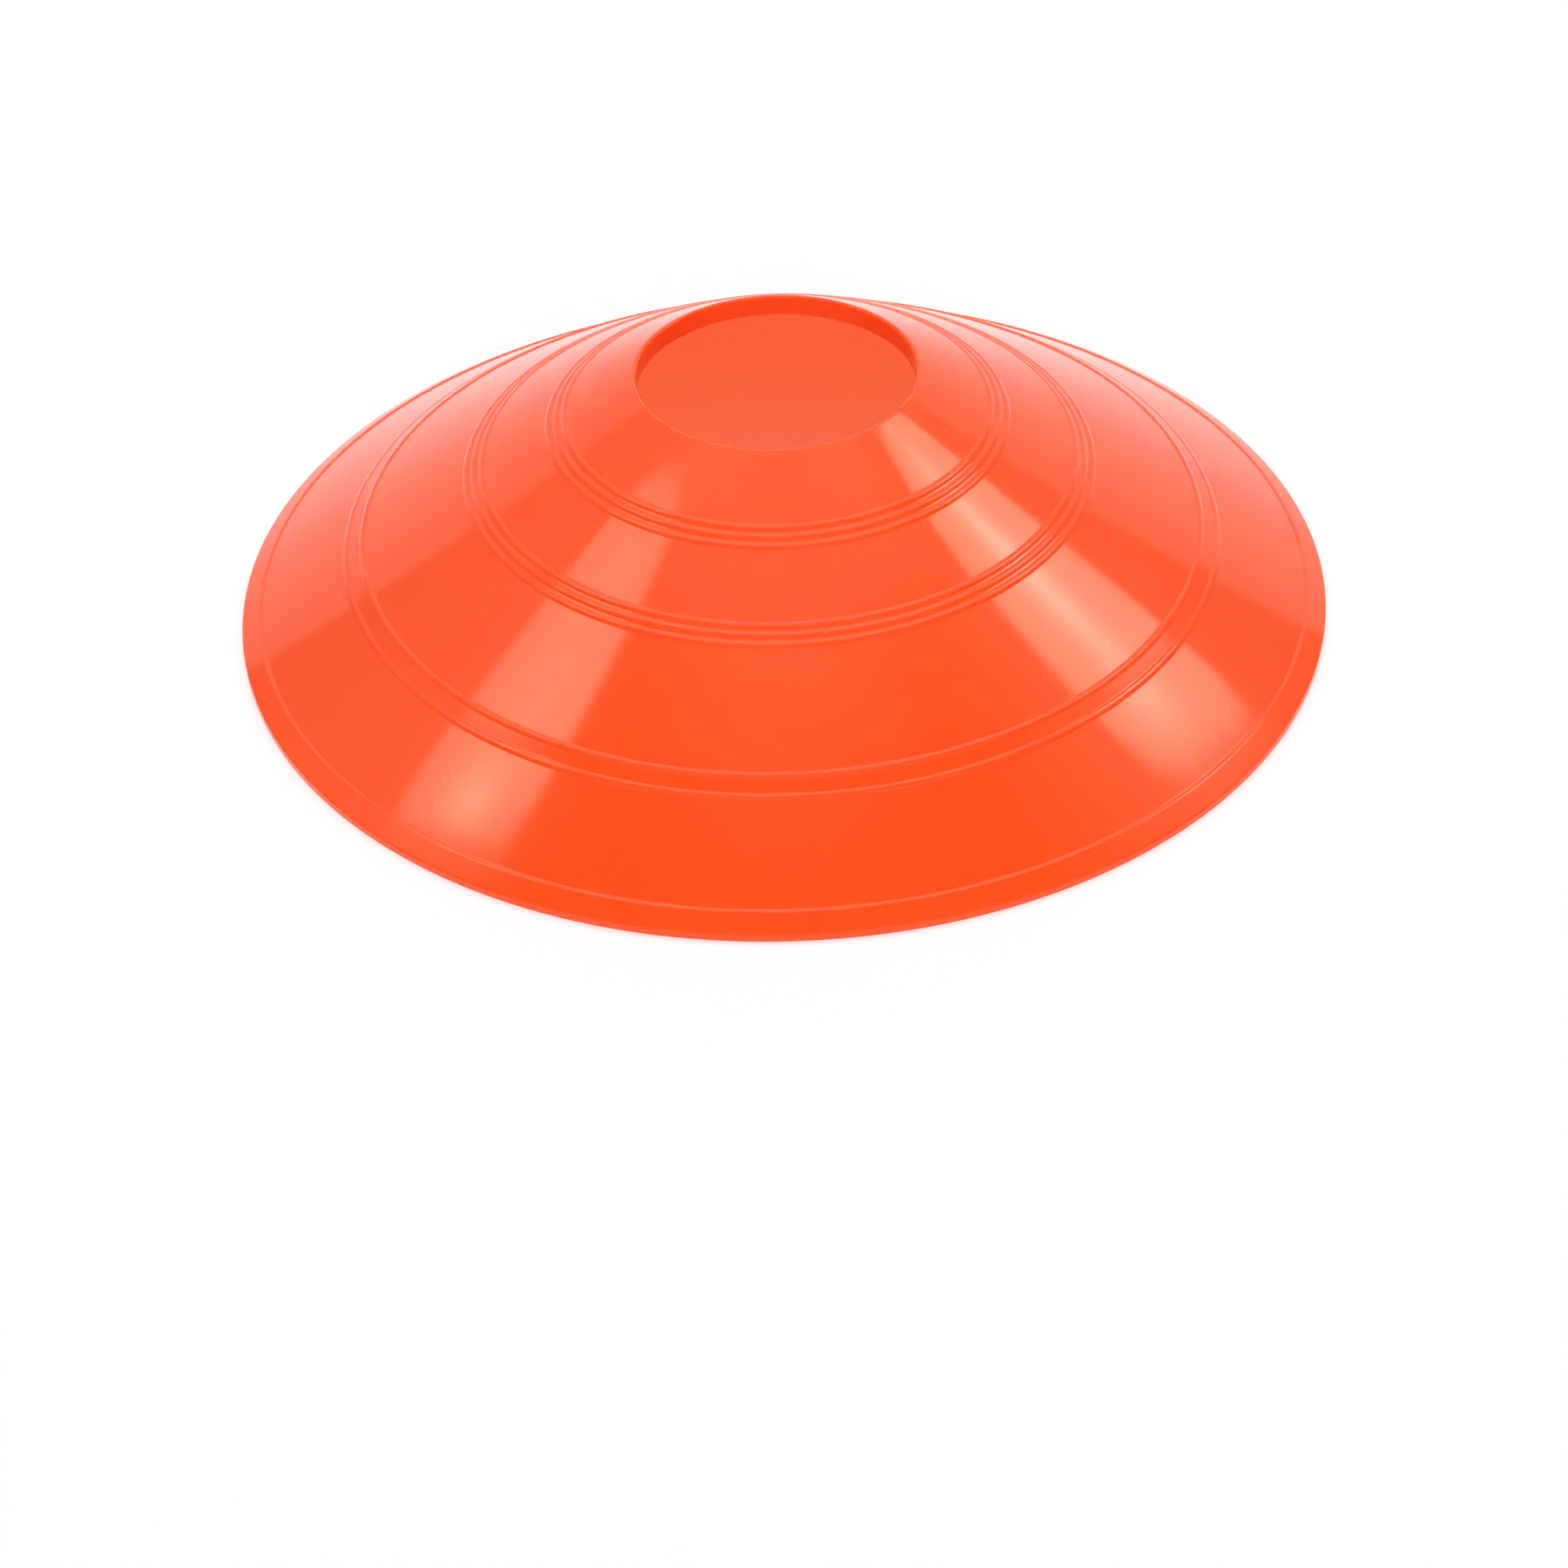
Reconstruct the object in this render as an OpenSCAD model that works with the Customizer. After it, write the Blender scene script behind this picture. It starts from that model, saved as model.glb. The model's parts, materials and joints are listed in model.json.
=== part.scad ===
// Disc-shaped sports marker cone: one thin moulded shell, open at the top and underneath.
// The section is drawn in plan radius and height, then turned about the upright axis.
// The wall follows one shallow arc, and every ring, band and corner takes its place from it.

/* [Cone] */
// Diameter over the rim
base_d = 200; // [160:1:240]
// Height of the lip above the ground
height = 48; // [36:1:60]
// Diameter of the hole through the top
hole_d = 50; // [36:1:60]
// Thickness of the wall
wall = 1.1; // [0.8:0.1:1.6]
// How far the wall bows out from a straight cone
crown = 0.6; // [0.4:0.1:2]

/* [Collar] */
// Height of the collar that turns down into the hole
collar_h = 4; // [3:0.1:8]
// Radius of the fillet between the collar and the underside
collar_fillet = 0.6; // [0.3:0.1:1.2]

/* [Raised rings] */
// Number of rings in a group
rings_per_group = 3; // [1:1:5]
// Width of a ring over its two feet
ring_w = 1.5; // [1.2:0.05:1.55]
// Height of a ring above the wall
ring_h = 0.3; // [0.2:0.05:0.5]
// Radius of the fillet along each foot of a ring
ring_fillet = 0.4; // [0.2:0.05:0.5]
// Distance down the slope from one ring of a group to the next
ring_pitch = 1.75; // [1.6:0.05:2.5]

/* [Band] */
// Width of the band down the slope, from its upper ring to its lower ring
band_w = 3.8; // [3:0.1:8]
// Height of the band above the wall at its upper edge
band_h = 0.15; // [0.1:0.05:0.3]
// Height of the ring along the band's upper edge
band_upper_ring_h = 0.4; // [0.2:0.05:0.5]
// Height of the ring along the band's lower edge
band_lower_ring_h = 0.3; // [0.2:0.05:0.5]

/* [Rim] */
// Width of the thicker rim, seen from above
rim_w = 3.6; // [2.6:0.1:8]
// Height of the rim's top face above the wall
rim_step = 0.3; // [0.2:0.05:0.6]
// Height of the rim's upright outer side, up to its corner
rim_h = 1.4; // [1.1:0.1:2.5]
// Radius of the rim's outer corner
rim_round = 0.5; // [0.3:0.1:0.9]
// Width of the flat seat under the rim
seat_w = 2.4; // [1.4:0.1:4]
// Radius of the seat's two edges
seat_round = 0.25; // [0.1:0.05:0.4]

/* [Hidden] */
// Places of the ring groups and of the band, as shares of the way from the hole to the outer side
group_shares = [0.197, 0.403];
band_share = 0.687;
// How far the blank of a round reaches past it, as a share of its radius
overrun_share = 1.3;
// How far the round of a ring's foot dips into what it joins, as a share of its radius
dip_share = 0.01;

turn_fn = 240;
round_fn = 48;
// Number of straight steps that the wall's arc is drawn in
arc_steps = 24;

base_r = base_d / 2;
hole_r = hole_d / 2;
skin = wall / 2;
rim_skin = skin + rim_step;

// The arc through the middle of the wall, from the lip's round to the rim's outer side
fall = atan2(height - rim_h, base_r - hole_r);
lip_mid = [hole_r + skin, height - skin];
rim_mid = [base_r, rim_h - rim_skin / cos(fall)];
chord = rim_mid - lip_mid;
half_chord = norm(chord) / 2;
arc_r = (half_chord * half_chord + crown * crown) / (2 * crown);
arc_c = (lip_mid + rim_mid) / 2 - (arc_r - crown) * [-chord[1], chord[0]] / norm(chord);

// Plan radius at a share of the way from the hole to the outer side
function plan_r(share) = hole_r + share * (base_r - hole_r);

// Direction square to the wall where its slope is the given angle
function square_to(slope) = [sin(slope), cos(slope)];

// Slope, at a plan radius, of the surface that lies off outside the middle of the wall
function slope_at(r, off) = asin((r - arc_c[0]) / (arc_r + off));

// Point where the surface that lies off outside the middle of the wall has a slope
function arc_point(slope, off) = arc_c + (arc_r + off) * square_to(slope);

// Change of slope along a distance down the wall
function turn_over(distance) = distance / (arc_r + skin) * 180 / PI;

// Points along the surface that lies off outside the middle of the wall, from one slope to another
function run(slope_from, slope_to, off, steps) =
    [for (i = [0 : steps]) arc_point(slope_from + (slope_to - slope_from) * i / steps, off)];

// Strip that follows the arc between two slopes and between two offsets from it
module strip(slope_from, slope_to, off_low, off_high, steps = 1) {
    polygon(concat(
        run(slope_from, slope_to, off_low, steps),
        run(slope_to, slope_from, off_high, steps)
    ));
}

// What lies outside a round of radius r about c, in the corner between the sides that face a and b
module corner(c, r, a, b) {
    blank_r = overrun_share * r;
    sides = cross(a, b) > 0 ? [a, b] : [b, a];
    difference() {
        polygon([
            c,
            c + blank_r * sides[0],
            c + blank_r * (a + b) / (1 + a * b),
            c + blank_r * sides[1]
        ]);
        translate(c) circle(r = r, $fn = round_fn);
    }
}

// Rounded ridge that stands h above the wall's skin, with a fillet along each foot
module ridge(slope, h) {
    // Sum of the radii of the ridge's round and of a fillet that runs smoothly into it
    radii = (ring_w * ring_w / 4 + h * h) / (2 * h);
    r = radii - ring_fillet;
    dip = dip_share * ring_fillet;
    apart = radii - dip;
    top_off = skin + h - r;
    foot_off = skin + ring_fillet - dip;
    spread = sqrt(apart * apart - (foot_off - top_off) * (foot_off - top_off));
    reach = 2 * asin(spread / 2 / sqrt((arc_r + top_off) * (arc_r + foot_off)));
    top = arc_point(slope, top_off);
    intersection() {
        translate(top) circle(r = r, $fn = round_fn);
        strip(slope - reach, slope + reach, 0, skin + 2 * h);
    }
    for (foot_slope = [slope - reach, slope + reach]) {
        foot = arc_point(foot_slope, foot_off);
        corner(foot, ring_fillet, -square_to(foot_slope), (top - foot) / apart);
    }
}

// Sloping wall, with its upper end rounded into the lip
module wall_section() {
    strip(slope_at(lip_mid[0], 0), slope_at(rim_mid[0], 0), -skin, skin, arc_steps);
    translate(lip_mid) circle(d = wall, $fn = round_fn);
}

// Collar that turns down inside the hole and gives it a straight bore
module collar_section() {
    foot = lip_mid - [0, collar_h - wall];
    translate(foot - [skin, 0]) square([wall, collar_h - wall]);
    translate(foot) circle(d = wall, $fn = round_fn);

    fillet_off = -skin - collar_fillet;
    fillet_slope = slope_at(hole_r + wall + collar_fillet, fillet_off);
    corner(arc_point(fillet_slope, fillet_off), collar_fillet, square_to(fillet_slope), [-1, 0]);
}

// Group of equal rings about a middle plan radius
module ring_group(r) {
    middle = slope_at(r, skin);
    for (i = [0 : rings_per_group - 1])
        ridge(middle + turn_over((i - (rings_per_group - 1) / 2) * ring_pitch), ring_h);
}

// Band that steps up at its upper ring and runs back into the wall at its lower ring
module band_section(r) {
    upper = slope_at(r, skin);
    lower = upper + turn_over(band_w);
    polygon([
        arc_point(upper, 0),
        arc_point(lower, 0),
        arc_point(lower, skin),
        arc_point(upper, skin + band_h)
    ]);
    ridge(upper, band_upper_ring_h);
    ridge(lower, band_lower_ring_h);
}

// Thicker rim: a stepped top face with a rounded upper edge, over a block with a flat seat
module rim_section() {
    edge = slope_at(base_r - rim_w, rim_skin);
    past_side = slope_at(rim_mid[0], 0) + turn_over(rim_w);
    strip(edge, past_side, 0, rim_skin);
    ridge(edge, rim_step);
    block_in = base_r - seat_w;
    polygon([
        [block_in, 0],
        [base_r, 0],
        arc_point(slope_at(base_r, 0), 0),
        arc_point(slope_at(block_in, 0), 0)
    ]);
}

// Cuts that round the rim's outer corner and the seat's two edges
module rim_rounding() {
    top_off = rim_skin - rim_round;
    top_slope = slope_at(base_r - rim_round, top_off);
    corner(arc_point(top_slope, top_off), rim_round, [1, 0], square_to(top_slope));
    corner([base_r - seat_round, seat_round], seat_round, [0, -1], [1, 0]);
    corner([base_r - seat_w + seat_round, seat_round], seat_round, [-1, 0], [0, -1]);
}

// Whole section, trimmed to the rim's outer side and to the ground
module section() {
    difference() {
        intersection() {
            union() {
                wall_section();
                collar_section();
                for (share = group_shares) ring_group(plan_r(share));
                band_section(plan_r(band_share));
                rim_section();
            }
            square([base_r, height]);
        }
        rim_rounding();
    }
}

// The one moulding
module marker_cone() {
    color("orangered") rotate_extrude($fn = turn_fn) section();
}

marker_cone();
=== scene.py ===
"""Looks of a disc-shaped sports marker cone of soft orange polyethylene, in a white studio.

Lengths are in metres and angles in degrees. The frame has +Z up, the ground at Z 0, and the
camera looks along +Y.
"""

import cmath
import json
import logging
import math
from dataclasses import dataclass, field
from enum import Enum
from typing import Any, Union

import bpy
from mathutils import Matrix, Vector


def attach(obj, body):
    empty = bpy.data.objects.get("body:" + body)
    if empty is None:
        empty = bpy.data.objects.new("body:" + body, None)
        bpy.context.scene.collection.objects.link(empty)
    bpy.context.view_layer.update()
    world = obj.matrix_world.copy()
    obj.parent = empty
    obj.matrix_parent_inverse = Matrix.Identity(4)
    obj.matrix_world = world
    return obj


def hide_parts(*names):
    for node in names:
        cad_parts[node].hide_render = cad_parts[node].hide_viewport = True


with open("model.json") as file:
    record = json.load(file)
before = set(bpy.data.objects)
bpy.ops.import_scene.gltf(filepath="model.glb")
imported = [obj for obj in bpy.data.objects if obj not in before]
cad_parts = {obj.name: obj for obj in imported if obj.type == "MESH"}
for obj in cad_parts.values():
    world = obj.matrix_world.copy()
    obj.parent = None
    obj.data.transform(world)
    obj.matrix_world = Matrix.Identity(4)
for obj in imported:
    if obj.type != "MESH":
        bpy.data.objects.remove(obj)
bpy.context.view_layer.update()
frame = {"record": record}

LOG = logging.getLogger("marker_cone")
MM = 0.001
ROUND_STEP = math.radians(12)
END_GAP = 0.08 * MM
LONGEST_STEP = 4 * MM
Colour = tuple[float, float, float]
WHITE: Colour = (1.0, 1.0, 1.0)


class Ray(Enum):
    """Kinds of ray that a surface can answer in its own way."""

    CAMERA = "Is Camera Ray"
    GLOSSY = "Is Glossy Ray"
    TRANSMISSION = "Is Transmission Ray"
    SHADOW = "Is Shadow Ray"


class Signal:
    """Output socket of a node, with arithmetic that adds Math nodes."""

    def __init__(self, graph: "Graph", socket: bpy.types.NodeSocket) -> None:
        """Wraps one output socket of a node in graph."""
        self.graph = graph
        self.socket = socket

    def of(self, output: str) -> "Signal":
        """Another output of the same node."""
        return Signal(self.graph, self.socket.node.outputs[output])

    def math(self, operation: str, *operands: "Number") -> "Signal":
        """Adds a Math node.

        Args:
            operation: The Math node's operation.
            *operands: The node's inputs, in order.

        Returns:
            The node's result.
        """
        return self.graph.add("ShaderNodeMath", {"operation": operation}, dict(enumerate(operands)))

    def __add__(self, other: "Number") -> "Signal":
        """self + other."""
        return self.math("ADD", self, other)

    __radd__ = __add__

    def __mul__(self, other: "Number") -> "Signal":
        """self * other."""
        return self.math("MULTIPLY", self, other)

    __rmul__ = __mul__

    def __sub__(self, other: "Number") -> "Signal":
        """self - other."""
        return self.math("SUBTRACT", self, other)

    def __rsub__(self, other: "Number") -> "Signal":
        """other - self."""
        return self.math("SUBTRACT", other, self)

    def __truediv__(self, other: "Number") -> "Signal":
        """self / other."""
        return self.math("DIVIDE", self, other)

    def __rtruediv__(self, other: "Number") -> "Signal":
        """other / self."""
        return self.math("DIVIDE", other, self)

    def __pow__(self, other: "Number") -> "Signal":
        """self to the power of other."""
        return self.math("POWER", self, other)

    def __rpow__(self, other: "Number") -> "Signal":
        """other to the power of self."""
        return self.math("POWER", other, self)

    def at_most(self, other: "Number") -> "Signal":
        """The lesser of self and other."""
        return self.math("MINIMUM", self, other)

    def ramp(self, low: float, high: float) -> "Signal":
        """Smooth step from 0 at low to 1 at high."""
        return self.graph.add(
            "ShaderNodeMapRange",
            {"interpolation_type": "SMOOTHSTEP"},
            {"Value": self, "From Min": low, "From Max": high},
        )

    def spread(self, low: float, high: float) -> "Signal":
        """Maps 0 to 1 on to low to high."""
        return self * (high - low) + low


Number = Union[float, Signal]


class Graph:
    """Node tree of a material, a lamp or the world."""

    def __init__(self, owner: Union[bpy.types.Material, bpy.types.World, bpy.types.Light]) -> None:
        """Empties the owner's node tree and takes it over.

        Args:
            owner: The material, lamp or world that has the tree.
        """
        owner.use_nodes = True
        self.tree = owner.node_tree
        self.tree.nodes.clear()

    def add(
        self,
        kind: str,
        settings: dict[str, Any] | None = None,
        sockets: dict[Union[str, int], Any] | None = None,
    ) -> Signal:
        """Adds a node.

        Args:
            kind: The node's type.
            settings: Its properties, which are set first.
            sockets: A value or a Signal for each input that is set.

        Returns:
            The node's first output that is in use.
        """
        node = self.tree.nodes.new(kind)
        for name, value in (settings or {}).items():
            setattr(node, name, value)
        for name, value in (sockets or {}).items():
            if isinstance(value, Signal):
                self.tree.links.new(value.socket, node.inputs[name])
            else:
                node.inputs[name].default_value = value
        outputs = [socket for socket in node.outputs if socket.enabled]
        return Signal(self, outputs[0]) if outputs else Signal(self, node.inputs[0])

    def mix_colours(self, share: Number, first: Any, second: Any) -> Signal:
        """Colour that goes from first to second as share goes from 0 to 1."""
        return self.add(
            "ShaderNodeMix",
            {"data_type": "RGBA"},
            {"Factor": share, "A": self.colour(first), "B": self.colour(second)},
        )

    @staticmethod
    def colour(value: Any) -> Any:
        """A colour with its fourth channel, or a Signal as it is."""
        return value if isinstance(value, Signal) else (*value, 1.0)

    def ray(self, *kinds: Ray) -> Signal:
        """Tells one kind of ray from another.

        Args:
            *kinds: The kinds that count.

        Returns:
            1 where the ray is one of the kinds, and otherwise 0.
        """
        path = self.add("ShaderNodeLightPath")
        total = path.of(kinds[0].value)
        for kind in kinds[1:]:
            total = total + path.of(kind.value)
        return total.at_most(1.0)

    def mix_shaders(self, share: Number, first: Signal, second: Signal) -> Signal:
        """Shader that goes from first to second as share goes from 0 to 1."""
        return self.add("ShaderNodeMixShader", None, {0: share, 1: first, 2: second})


@dataclass(frozen=True)
class Polyethylene:
    """Soft-gloss polyethylene, coloured through and slightly translucent.

    The wall lets light through on shadow rays, tinted at each face. The tint's red is above 1, so
    each face adds red light that no lamp gives: a painted glow that brightens the floor and the inner
    wall seen through the hole. Tone is what varies over the surface: slow clouds, and faint marks
    where the plastic flowed.
    """

    colour: Colour = (0.96, 0.090, 0.013)
    deep_colour: Colour = (0.95, 0.085, 0.012)
    gloss: float = 0.07
    dull: float = 0.10
    ior: float = 1.51
    sheen: Colour = (1.0, 0.95, 0.70)
    # Red above 1 is a painted glow: each face of the wall adds red light under the shell.
    let_through_and_glow: Colour = (1.15, 0.69, 0.42)
    scatter: Colour = (1.0, 0.08, 0.03)
    scatter_depth: float = 3.0 * MM
    cloud_size: float = 30 * MM
    cloud_detail: float = 3.0
    tone_ramp: tuple[float, float] = (0.3, 0.7)
    grain_size: float = 0.5 * MM
    grain_depth: float = 0.0004 * MM
    wave_size: float = 22 * MM
    wave_depth: float = 0.012 * MM
    flow_count: float = 46
    flow_length: float = 20 * MM
    flow_depth: float = 0.0015 * MM
    flow_share: float = 0.35

    def noise(self, graph: Graph, place: Signal, size: float, detail: float = 2.0) -> Signal:
        """Noise of about the given feature size.

        Args:
            graph: The material's nodes.
            place: The point's place on the object.
            size: The size of one patch.
            detail: How many finer layers it has.

        Returns:
            The noise, from about 0 to 1.
        """
        return graph.add(
            "ShaderNodeTexNoise", None, {"Vector": place, "Scale": 1 / size, "Detail": detail}
        )

    def flow(self, graph: Graph, place: Signal) -> Signal:
        """Faint marks that run straight down the wall, where the plastic flowed out from the middle.

        Args:
            graph: The material's nodes.
            place: The point's place on the object.

        Returns:
            The marks, from about 0 to 1.
        """
        count = (self.flow_count, self.flow_count, 0)
        drop = (0, 0, 1 / self.flow_length)
        flat = graph.add("ShaderNodeVectorMath", {"operation": "MULTIPLY"}, {0: place, 1: (1, 1, 0)})
        way = graph.add("ShaderNodeVectorMath", {"operation": "NORMALIZE"}, {0: flat})
        round_it = graph.add("ShaderNodeVectorMath", {"operation": "MULTIPLY"}, {0: way, 1: count})
        down_it = graph.add("ShaderNodeVectorMath", {"operation": "MULTIPLY"}, {0: place, 1: drop})
        spot = graph.add("ShaderNodeVectorMath", {"operation": "ADD"}, {0: round_it, 1: down_it})
        return self.noise(graph, spot, 1.0)

    def relief(self, graph: Graph, place: Signal, flow: Signal) -> Signal:
        """Slow waves, flow marks and fine grain of the moulding.

        Args:
            graph: The material's nodes.
            place: The point's place on the object.
            flow: The flow marks.

        Returns:
            The surface normal.
        """
        normal = None
        for height, depth in (
            (self.noise(graph, place, self.wave_size), self.wave_depth),
            (flow, self.flow_depth),
            (self.noise(graph, place, self.grain_size), self.grain_depth),
        ):
            sockets = {"Distance": depth, "Height": height}
            if normal:
                sockets["Normal"] = normal
            normal = graph.add("ShaderNodeBump", None, sockets)
        return normal

    def material(self, name: str) -> bpy.types.Material:
        """Makes the material.

        Args:
            name: The material's name.

        Returns:
            The material, with its nodes.
        """
        made = bpy.data.materials.new(name)
        graph = Graph(made)
        place = graph.add("ShaderNodeTexCoord").of("Object")
        flow = self.flow(graph, place)
        clouds = self.noise(graph, place, self.cloud_size, self.cloud_detail).ramp(*self.tone_ramp)
        tone = clouds * (1 - self.flow_share) + flow.ramp(*self.tone_ramp) * self.flow_share
        surface = graph.add(
            "ShaderNodeBsdfPrincipled",
            {"subsurface_method": "RANDOM_WALK"},
            {
                "Base Color": graph.mix_colours(tone, self.colour, self.deep_colour),
                "Roughness": tone.spread(self.gloss, self.dull),
                "IOR": self.ior,
                "Specular Tint": graph.colour(self.sheen),
                "Subsurface Weight": 1.0,
                "Subsurface Radius": self.scatter,
                "Subsurface Scale": self.scatter_depth,
                "Normal": self.relief(graph, place, flow),
            },
        )
        # Shadow rays pass the wall with this tint. Its red above 1 adds a painted glow inside the shell.
        glow = graph.add("ShaderNodeBsdfTransparent", None, {"Color": graph.colour(self.let_through_and_glow)})
        surface = graph.mix_shaders(graph.ray(Ray.SHADOW), surface, glow)
        graph.add("ShaderNodeOutputMaterial", None, {"Surface": surface})
        return made


@dataclass(frozen=True)
class SweepWhite:
    """White sheet that shows as clean white beyond the object's own shadow.

    Lift is the share of plain white in what the camera sees of it near the object, and far_lift the
    share beyond the distances of fade.
    """

    colour: Colour = (0.86, 0.86, 0.86)
    under_colour: Colour = (0.95, 0.95, 0.95)
    lift: float = 0.55
    far_lift: float = 1.0
    fade: tuple[float, float] = (0.20, 0.70)
    white: float = 1.0
    clear_radius: float = 99 * MM

    def material(self, name: str) -> bpy.types.Material:
        """Makes the material.

        Args:
            name: The material's name.

        Returns:
            The material. Where the object stands over the floor, it is a plain and whiter surface.
        """
        made = bpy.data.materials.new(name)
        graph = Graph(made)
        place = graph.add("ShaderNodeTexCoord").of("Object")
        from_axis = graph.add("ShaderNodeVectorMath", {"operation": "LENGTH"}, {0: place})
        away = from_axis.of("Value")
        outside = away.math("GREATER_THAN", away, self.clear_radius)
        lift = away.ramp(*self.fade).spread(self.lift, self.far_lift)
        seen = graph.ray(Ray.CAMERA, Ray.GLOSSY, Ray.TRANSMISSION)
        under = graph.add("ShaderNodeBsdfDiffuse", None, {"Color": graph.colour(self.under_colour)})
        plain = graph.add("ShaderNodeBsdfDiffuse", None, {"Color": graph.colour(self.colour)})
        glow = graph.add("ShaderNodeEmission", None, {"Strength": self.white})
        shown = graph.mix_shaders(seen * lift, plain, glow)
        surface = graph.mix_shaders(outside, under, shown)
        graph.add("ShaderNodeOutputMaterial", None, {"Surface": surface})
        return made


@dataclass(frozen=True)
class Core:
    """Brighter spot of a softbox, placed by shares of its width and height."""

    across: float
    up: float
    half_width: float
    half_height: float
    radiance: float


@dataclass(frozen=True)
class Panel:
    """Softbox that faces the object. A radiance of 1 looks white.

    Its lit face is a parallelogram with rounded corners: the upper and lower edges climb by skew, as
    a share of the height, over the width. A corner_power of 2 makes an ellipse of it, and a greater
    one squarer corners. Soft_edge holds where the light begins to fade, and where it ends: 0 is the
    middle of the face and 1 its edge. A panel that isn't mirrored lights the object, but doesn't show
    in its gloss.
    """

    name: str
    azimuth: float
    elevation: float
    width: float
    height: float
    radiance: float
    distance: float = 2.0
    twist: float = 0.0
    skew: float = 0.0
    corner_power: int = 6
    soft_edge: tuple[float, float] = (0.75, 1.0)
    cores: tuple[Core, ...] = ()
    mirrored: bool = True

    def place(self) -> Matrix:
        """Works out where the lamp stands.

        Returns:
            Its place and axes, with its local Z away from the object.
        """
        turn, rise = math.radians(self.azimuth), math.radians(self.elevation)
        out = Vector((math.cos(rise) * math.cos(turn), math.cos(rise) * math.sin(turn), math.sin(rise)))
        side = Vector((0, 0, 1)).cross(out).normalized()
        lean = Matrix.Rotation(math.radians(self.twist), 3, out)
        axes = Matrix((lean @ side, lean @ out.cross(side), out)).transposed()
        return Matrix.Translation(self.distance * out) @ axes.to_4x4()

    def pattern(self, graph: Graph) -> Signal:
        """Radiance over the lamp's face.

        Args:
            graph: The lamp's nodes.

        Returns:
            An even level with soft edges, and the cores on it.
        """
        face = graph.add("ShaderNodeNewGeometry").of("Parametric")
        spot = graph.add("ShaderNodeSeparateXYZ", None, {0: face})
        across = spot.of("X")
        up = (spot.of("Y") - 0.5) * (1 + abs(self.skew)) + 0.5 - (across - 0.5) * self.skew
        level = self.radiance
        for core in self.cores:
            x = (across - core.across) / core.half_width
            y = (up - core.up) / core.half_height
            level = level + core.radiance * math.e ** (-1 * (x * x + y * y))
        from_middle = (2 * across - 1) ** self.corner_power + (2 * up - 1) ** self.corner_power
        return level * (1 - from_middle.ramp(*self.soft_edge))

    def build(self) -> bpy.types.Object:
        """Makes the lamp.

        Returns:
            The lamp, which the camera doesn't see.
        """
        lamp = bpy.data.lights.new(self.name, "AREA")
        lamp.shape = "RECTANGLE"
        lamp.size = self.width
        lamp.size_y = self.height * (1 + abs(self.skew))
        lamp.energy = math.pi * lamp.size * lamp.size_y
        graph = Graph(lamp)
        glow = graph.add("ShaderNodeEmission", None, {"Strength": self.pattern(graph)})
        graph.add("ShaderNodeOutputLight", None, {"Surface": glow})
        made = bpy.data.objects.new(self.name, lamp)
        bpy.context.scene.collection.objects.link(made)
        made.matrix_world = self.place()
        made.visible_camera = False
        made.visible_glossy = self.mirrored
        return made


@dataclass
class Camera:
    """Camera at the photograph's viewing angle."""

    distance: float = 0.700
    aim_height: float = 0.020
    elevation: float = 34.243
    roll: float = -1.850
    pan: float = -0.080
    tilt: float = -4.239
    lens: float = 87.799
    sensor: float = 36.0
    near_end: float = 10 * MM

    def place(self) -> Matrix:
        """Works out where the camera stands.

        Returns:
            Its place and axes.
        """
        rise = math.radians(self.elevation)
        back = Vector((0, -math.cos(rise), math.sin(rise)))
        right = Vector((1, 0, 0))
        up = back.cross(right)
        axes = Matrix((right, up, back)).transposed()
        turned = axes @ self.turn(-self.pan, "Y") @ self.turn(self.tilt, "X") @ self.turn(self.roll, "Z")
        spot = Vector((0, 0, self.aim_height)) + self.distance * back
        return Matrix.Translation(spot) @ turned.to_4x4()

    @staticmethod
    def turn(angle: float, axis: str) -> Matrix:
        """Rotation by an angle about one of the camera's own axes."""
        return Matrix.Rotation(math.radians(angle), 3, axis)

    def build(self) -> bpy.types.Object:
        """Makes the camera and makes it the scene's.

        Returns:
            The camera.
        """
        optics = bpy.data.cameras.new("photo_camera")
        optics.lens = self.lens
        optics.sensor_width = self.sensor
        optics.clip_start = self.near_end
        made = bpy.data.objects.new("photo_camera", optics)
        bpy.context.scene.collection.objects.link(made)
        made.matrix_world = self.place()
        bpy.context.scene.camera = made
        return made


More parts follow.
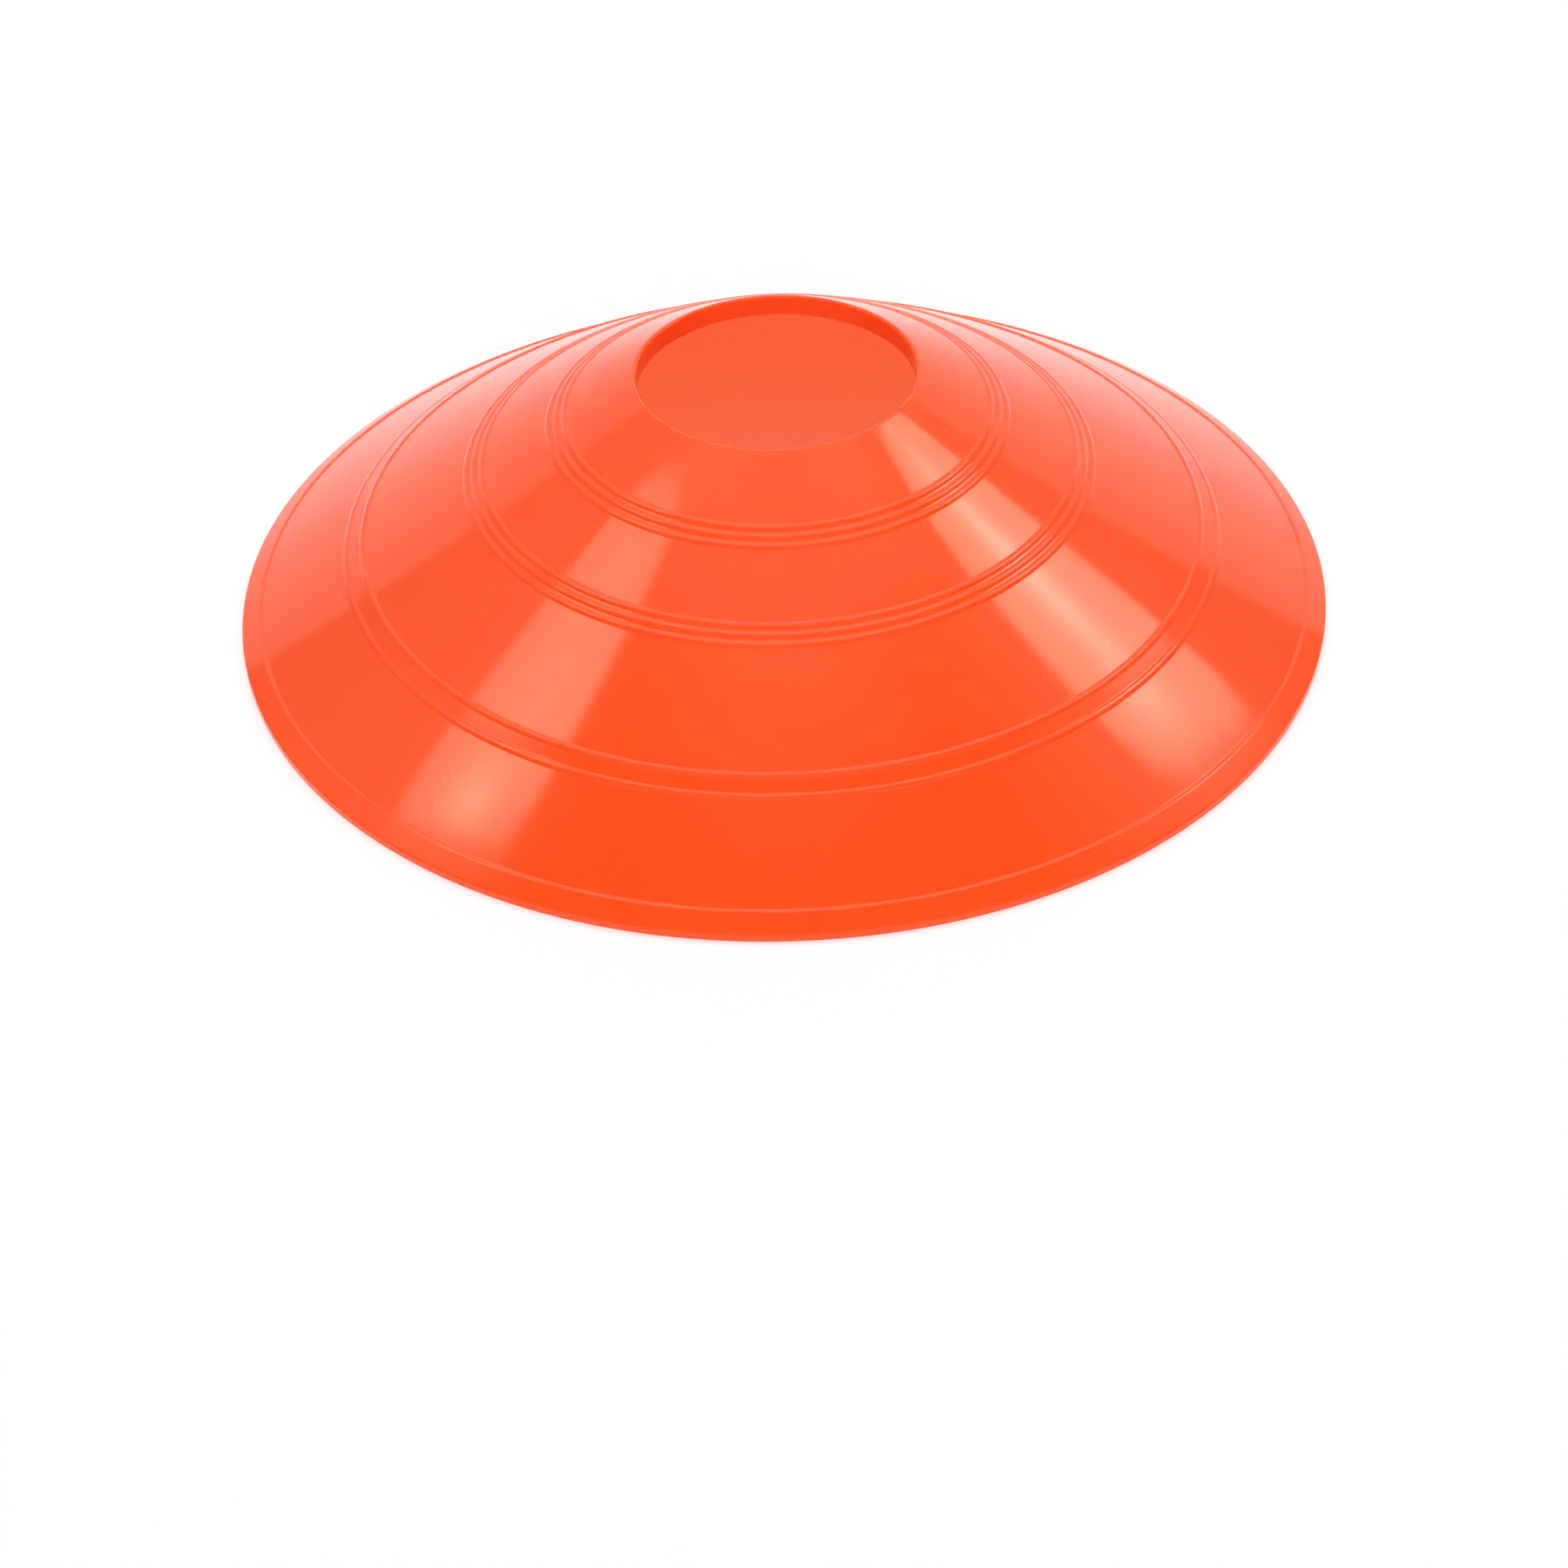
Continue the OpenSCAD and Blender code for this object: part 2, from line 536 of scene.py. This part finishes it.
@dataclass
class Studio:
    """White floor, backdrop, lamps and ambient light.

    The ambient light has low_level at the ground and high_level overhead, over high_ramp. It falls
    to front_level in front of the object, over front_ramp, and far in front window_level is added
    to it, over window_ramp. Its colour is a grey, which scales them all.
    """

    floor_half: float = 4.0
    floor_drop: float = 0.05 * MM
    ambient_colour: Colour = (0.8, 0.8, 0.8)
    low_level: float = 0.32
    high_level: float = 0.75
    high_ramp: tuple[float, float] = (0.30, 0.75)
    front_level: float = 0.05
    front_ramp: tuple[float, float] = (-0.10, 0.15)
    window_level: float = 0.50
    window_ramp: tuple[float, float] = (0.25, 0.60)
    backdrop_away: float = 1.6
    backdrop_half: float = 1.77
    backdrop_top: float = 1.7
    floor_finish: SweepWhite = SweepWhite()
    backdrop_finish: SweepWhite = SweepWhite(far_lift=0.55)
    panels: list[Panel] = field(
        default_factory=lambda: [
            Panel(
                "left_softbox", azimuth=173.1, elevation=53.0, width=0.672, height=0.453,
                radiance=1.7, twist=34.1, skew=0.365,
                cores=(
                    Core(across=0.65, up=0.38, half_width=0.55, half_height=0.60, radiance=1.8),
                    Core(across=0.53, up=0.09, half_width=0.20, half_height=0.09, radiance=3.4),
                ),
            ),
            Panel(
                "right_softbox", azimuth=22.0, elevation=43.1, width=0.764, height=0.554,
                radiance=2.6, twist=-22.8, skew=-0.604, corner_power=4,
                cores=(
                    Core(across=0.42, up=0.50, half_width=0.45, half_height=0.50, radiance=2.0),
                    Core(across=0.46, up=0.55, half_width=0.11, half_height=0.28, radiance=4.6),
                    Core(across=0.38, up=0.19, half_width=0.16, half_height=0.07, radiance=2.8),
                ),
            ),
            Panel(
                "overhead_diffuser", azimuth=90, elevation=76.8, width=2.97, height=2.97,
                radiance=0.90, distance=2.2, corner_power=2, soft_edge=(0.28, 0.92),
            ),
            Panel(
                "back_softbox", azimuth=90, elevation=70, width=3.2, height=1.4,
                radiance=1.8, distance=2.2, mirrored=False,
            ),
            Panel(
                "front_fill", azimuth=-90, elevation=11, width=4.6, height=0.8,
                radiance=3.3, distance=2.2, mirrored=False,
            ),
        ]
    )

    @staticmethod
    def sheet(name: str, corners: list[Vector], finish: SweepWhite) -> bpy.types.Object:
        """Makes a flat stage sheet.

        Args:
            name: The object's name.
            corners: The sheet's corners, in order.
            finish: What it is made of.

        Returns:
            The object, marked as part of the stage.
        """
        mesh = bpy.data.meshes.new(name)
        mesh.from_pydata(corners, [], [list(range(len(corners)))])
        made = bpy.data.objects.new(name, mesh)
        bpy.context.scene.collection.objects.link(made)
        mesh.materials.append(finish.material(name))
        return made

    def build_floor(self) -> bpy.types.Object:
        """Makes the floor.

        Returns:
            The floor, whose top lies just under the object's seat.
        """
        half, low = self.floor_half, -self.floor_drop
        edges = ((-half, -half), (half, -half), (half, half), (-half, half))
        corners = [Vector((x, y, low)) for x, y in edges]
        return self.sheet("studio_floor", corners, self.floor_finish)

    def build_backdrop(self) -> bpy.types.Object:
        """Makes the backdrop.

        Returns:
            The white sheet that stands behind the object.
        """
        away, half, top = self.backdrop_away, self.backdrop_half, self.backdrop_top
        corners = [Vector((x, away, z)) for x, z in ((-half, 0), (half, 0), (half, top), (-half, top))]
        return self.sheet("studio_backdrop", corners, self.backdrop_finish)

    def build_world(self) -> None:
        """Makes the ambient light, behind which the camera sees white."""
        world = bpy.data.worlds.new("studio_world")
        graph = Graph(world)
        seen = graph.ray(Ray.CAMERA, Ray.TRANSMISSION)
        direction = graph.add("ShaderNodeTexCoord").of("Generated")
        way = graph.add("ShaderNodeSeparateXYZ", None, {0: direction})
        side = way.of("Z").ramp(*self.high_ramp).spread(self.low_level, self.high_level)
        forward = way.of("Y") * -1
        level = side * (1 - forward.ramp(*self.front_ramp)) + self.front_level
        level = level + forward.ramp(*self.window_ramp) * self.window_level
        grey = graph.colour(self.ambient_colour)
        light = graph.add("ShaderNodeBackground", None, {"Color": grey, "Strength": level})
        white = graph.add("ShaderNodeBackground", None, {"Color": graph.colour(WHITE), "Strength": 1.0})
        graph.add("ShaderNodeOutputWorld", None, {"Surface": graph.mix_shaders(seen, light, white)})
        bpy.context.scene.world = world

    def build(self) -> None:
        """Makes the whole studio."""
        self.build_floor()
        self.build_backdrop()
        self.build_world()
        for panel in self.panels:
            panel.build()
            LOG.info("%s: %.1f times white", panel.name, panel.radiance)


def sweep(centre: complex, radius: float, start: complex, turn: float) -> list[complex]:
    """Points along a round stretch of a section.

    Args:
        centre: The middle of the round.
        radius: Its radius.
        start: The direction from the middle to the first point, of length 1.
        turn: The angle that the stretch turns through, in radians, with its sign.

    Returns:
        The points, with both ends.
    """
    steps = max(2, math.ceil(abs(turn) / ROUND_STEP))
    return [centre + radius * start * cmath.rect(1, turn * step / steps) for step in range(steps + 1)]


def between(start: float, end: float) -> list[float]:
    """Lengths inside a straight stretch.

    Args:
        start: Where the stretch starts.
        end: Where it ends.

    Returns:
        One length close to each end, and even steps from one to the other.
    """
    near = math.copysign(END_GAP, end - start)
    steps = max(1, math.ceil(abs(end - start) / LONGEST_STEP))
    return [start + near + (end - start - 2 * near) * step / steps for step in range(steps + 1)]


@dataclass(frozen=True)
class Ring:
    """Raised ring, with its place down the wall and its height over the wall above it and below it."""

    along: float
    above: float
    below: float

    @staticmethod
    def half(width: float, fillet: float, height: float) -> list[complex]:
        """One half of a ring's outline.

        Args:
            width: The ring's width over its two feet.
            fillet: The radius of the fillet along a foot.
            height: The ring's height over what is next to it.

        Returns:
            Points from the foot to the top: distance from the ring's middle + height * 1j.
        """
        radii = (width * width / 4 + height * height) / (2 * height)
        steepest = math.asin(width / 2 / radii)
        crown = radii - fillet
        foot = sweep(complex(width / 2, fillet), fillet, -1j, -steepest)
        top = sweep(complex(0, height - crown), crown, 1j * cmath.rect(1, -steepest), steepest)
        return foot[:-1] + top


@dataclass
class MarkerCone:
    """The one moulding: a crowned wall with raised rings, a turned-down collar and a thicker rim.

    Its section is drawn with complex numbers, plan radius + height * 1j. A place on the wall is given
    by its slope there and by its distance, square to the wall, from the arc through the wall's middle.
    """

    node: str = "marker_cone"
    slot: str = "cone_plastic"
    finish: Polyethylene = Polyethylene()
    wall: float = 1.1 * MM
    crown: float = 0.6 * MM
    collar_height: float = 4 * MM
    collar_fillet: float = 0.6 * MM
    rings_per_group: int = 3
    ring_width: float = 1.5 * MM
    ring_height: float = 0.2 * MM
    ring_fillet: float = 0.4 * MM
    ring_pitch: float = 1.75 * MM
    band_width: float = 3.8 * MM
    band_height: float = 0.15 * MM
    band_upper_ring: float = 0.3 * MM
    band_lower_ring: float = 0.15 * MM
    rim_width: float = 3.3 * MM
    rim_step: float = 0.3 * MM
    rim_height: float = 1.4 * MM
    rim_round: float = 0.5 * MM
    seat_width: float = 2.4 * MM
    seat_round: float = 0.25 * MM
    block_fillet: float = 0.3 * MM
    group_shares: tuple[float, float] = (0.197, 0.403)
    band_share: float = 0.687
    turn_steps: int = 256

    def __post_init__(self) -> None:
        """Works out the wall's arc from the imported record's size and bore."""
        record = frame["record"]
        across, _, height = record["size"]["bbox_m"]
        bore = next(mount for mount in record["mounts"] if mount["kind"] == "bore")
        self.outer_radius = across / 2
        self.hole_radius = bore["dims"]["r_mm"] * MM
        self.skin = self.wall / 2
        self.rim_skin = self.skin + self.rim_step
        fall = math.atan2(height - self.rim_height, self.outer_radius - self.hole_radius)
        self.lip_middle = complex(self.hole_radius + self.skin, height - self.skin)
        rim_middle = complex(self.outer_radius, self.rim_height - self.rim_skin / math.cos(fall))
        chord = rim_middle - self.lip_middle
        self.arc_radius = (abs(chord) ** 2 / 4 + self.crown**2) / (2 * self.crown)
        middle = (self.lip_middle + rim_middle) / 2
        self.arc_centre = middle - (self.arc_radius - self.crown) * 1j * chord / abs(chord)
        self.lip_slope = self.slope_at(self.lip_middle.real, 0)

    @staticmethod
    def square_to(slope: float) -> complex:
        """Direction square to the wall, outwards, where it has a slope."""
        return 1j * cmath.rect(1, -slope)

    def slope_at(self, radius: float, off: float) -> float:
        """Slope, at a plan radius, of the surface that lies off outside the middle of the wall."""
        return math.asin((radius - self.arc_centre.real) / (self.arc_radius + off))

    def point(self, slope: float, off: float) -> complex:
        """Point that lies off outside the middle of the wall, where it has a slope."""
        return self.arc_centre + (self.arc_radius + off) * self.square_to(slope)

    def along_at(self, slope: float) -> float:
        """Distance down the wall's skin from the lip to where it has a slope."""
        return (slope - self.lip_slope) * (self.arc_radius + self.skin)

    def on_skin(self, along: float, rise: float) -> complex:
        """Point that stands over the skin, at a distance down it from the lip."""
        slope = self.lip_slope + along / (self.arc_radius + self.skin)
        return self.point(slope, self.skin + rise)

    def share_along(self, share: float) -> float:
        """Distance down the wall to a share of the way, in plan, from the hole to the outer side."""
        radius = self.hole_radius + share * (self.outer_radius - self.hole_radius)
        return self.along_at(self.slope_at(radius, self.skin))

    def rings(self) -> list[Ring]:
        """Places every raised ring.

        Returns:
            The rings from the lip down, with the rounded edge of the rim's step last.
        """
        rings = []
        middle = (self.rings_per_group - 1) / 2
        for share in self.group_shares:
            for index in range(self.rings_per_group):
                along = self.share_along(share) + (index - middle) * self.ring_pitch
                rings.append(Ring(along, self.ring_height, self.ring_height))
        band = self.share_along(self.band_share)
        rings.append(Ring(band, self.band_upper_ring, self.band_upper_ring - self.band_height))
        rings.append(Ring(band + self.band_width, self.band_lower_ring, self.band_lower_ring))
        edge = self.along_at(self.slope_at(self.outer_radius - self.rim_width, self.rim_skin))
        rings.append(Ring(edge, self.rim_step, 0))
        return rings

    def base(self, along: float, band: float, edge: float) -> float:
        """Height of the band and of the rim's step over the plain skin.

        Args:
            along: The distance down the wall.
            band: Where the band starts.
            edge: Where the rim's step is.

        Returns:
            The height, which falls to nothing over the band's width.
        """
        if along > edge:
            return self.rim_step
        past = (along - band) / self.band_width
        return self.band_height * (1 - past) if 0 < past < 1 else 0.0

    def outer_face(self) -> list[complex]:
        """Draws the outer face.

        Returns:
            Its points from the lip to the rim's corner.
        """
        rings = self.rings()
        band, edge = rings[-3].along, rings[-1].along
        run: list[complex] = []
        last = 0.0
        for ring in rings:
            run += [complex(along, 0) for along in between(last, ring.along - self.ring_width / 2)]
            upper = self.half(ring.above)
            run += [ring.along - spot.conjugate() for spot in upper]
            last = ring.along
            if ring.below:
                run += [ring.along + spot for spot in reversed(self.half(ring.below)[:-1])]
                last += self.ring_width / 2
        corner = self.slope_at(self.outer_radius - self.rim_round, self.rim_skin - self.rim_round)
        run += [complex(along, 0) for along in between(last, self.along_at(corner))]
        return [self.on_skin(spot.real, spot.imag + self.base(spot.real, band, edge)) for spot in run]

    def half(self, height: float) -> list[complex]:
        """One half of a ring of this moulding."""
        return Ring.half(self.ring_width, self.ring_fillet, height)

    def rim(self) -> list[complex]:
        """Draws the rim.

        Returns:
            Its points from the rounded corner, down the outer side and over the seat to the underside.
        """
        off = self.rim_skin - self.rim_round
        slope = self.slope_at(self.outer_radius - self.rim_round, off)
        corner = sweep(self.point(slope, off), self.rim_round, self.square_to(slope), slope - math.pi / 2)
        block = self.outer_radius - self.seat_width
        small = self.seat_round
        outer = sweep(complex(self.outer_radius - small, small), small, 1, -math.pi / 2)
        inner = sweep(complex(block + small, small), small, -1j, -math.pi / 2)
        off = -self.skin - self.block_fillet
        slope = self.slope_at(block - self.block_fillet, off)
        fillet = sweep(self.point(slope, off), self.block_fillet, 1, math.pi / 2 - slope)
        side = [complex(self.outer_radius, high) for high in between(corner[-1].imag, small)]
        seat = [complex(radius, 0) for radius in between(outer[-1].real, inner[0].real)]
        return corner + side + outer + seat + inner + fillet

    def underside(self) -> list[complex]:
        """Draws the underside and the collar.

        Returns:
            Their points from the rim up to the collar, and round the collar's foot to the lip.
        """
        block = self.outer_radius - self.seat_width - self.block_fillet
        start = self.slope_at(block, -self.skin - self.block_fillet)
        off = -self.skin - self.collar_fillet
        end = self.slope_at(self.hole_radius + self.wall + self.collar_fillet, off)
        lengths = between(self.arc_radius * start, self.arc_radius * end)
        under = [self.point(length / self.arc_radius, -self.skin) for length in lengths]
        fillet = sweep(self.point(end, off), self.collar_fillet, self.square_to(end), math.pi / 2 + end)
        foot_middle = self.lip_middle - 1j * (self.collar_height - self.wall)
        foot = sweep(foot_middle, self.skin, 1, -math.pi)
        outside = [complex(foot[0].real, high) for high in between(fillet[-1].imag, foot[0].imag)]
        bore = [complex(self.hole_radius, high) for high in between(foot[-1].imag, self.lip_middle.imag)]
        return under + fillet + outside + foot + bore

    def outline(self) -> list[complex]:
        """The section's whole outline, which closes on itself at the top of the bore."""
        lip = sweep(self.lip_middle, self.skin, -1, -math.pi / 2 - self.lip_slope)
        return lip + self.outer_face() + self.rim() + self.underside()

    def mesh(self) -> bpy.types.Mesh:
        """Turns the outline about the upright axis.

        Returns:
            The closed mesh, smooth all over.
        """
        outline = self.outline()
        count = len(outline)
        corners, faces = [], []
        for turn in range(self.turn_steps):
            way = cmath.rect(1, math.tau * turn / self.turn_steps)
            corners += [(spot.real * way.real, spot.real * way.imag, spot.imag) for spot in outline]
            here, there = turn * count, (turn + 1) % self.turn_steps * count
            for spot in range(count):
                after = (spot + 1) % count
                faces.append((here + spot, here + after, there + after, there + spot))
        made = bpy.data.meshes.new(self.node)
        made.from_pydata(corners, [], faces)
        made.shade_smooth()
        return made

    def build(self) -> bpy.types.Object:
        """Makes the moulding and dresses it.

        Returns:
            The object, which stands for the CAD node.
        """
        mesh = self.mesh()
        mesh.materials.append(self.finish.material(self.slot))
        shell = bpy.data.objects.new("cone_moulding", mesh)
        bpy.context.scene.collection.objects.link(shell)
        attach(shell, "root")
        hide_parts(self.node)
        return shell


def main() -> None:
    """Builds the camera, the studio and the marker cone."""
    logging.basicConfig(level=logging.INFO, format="%(name)s: %(message)s")
    bpy.context.scene.view_settings.view_transform = "Standard"
    Camera().build()
    Studio().build()
    shell = MarkerCone().build()
    LOG.info("%s: %d faces", shell.name, len(shell.data.polygons))


if __name__ == "__main__":
    main()
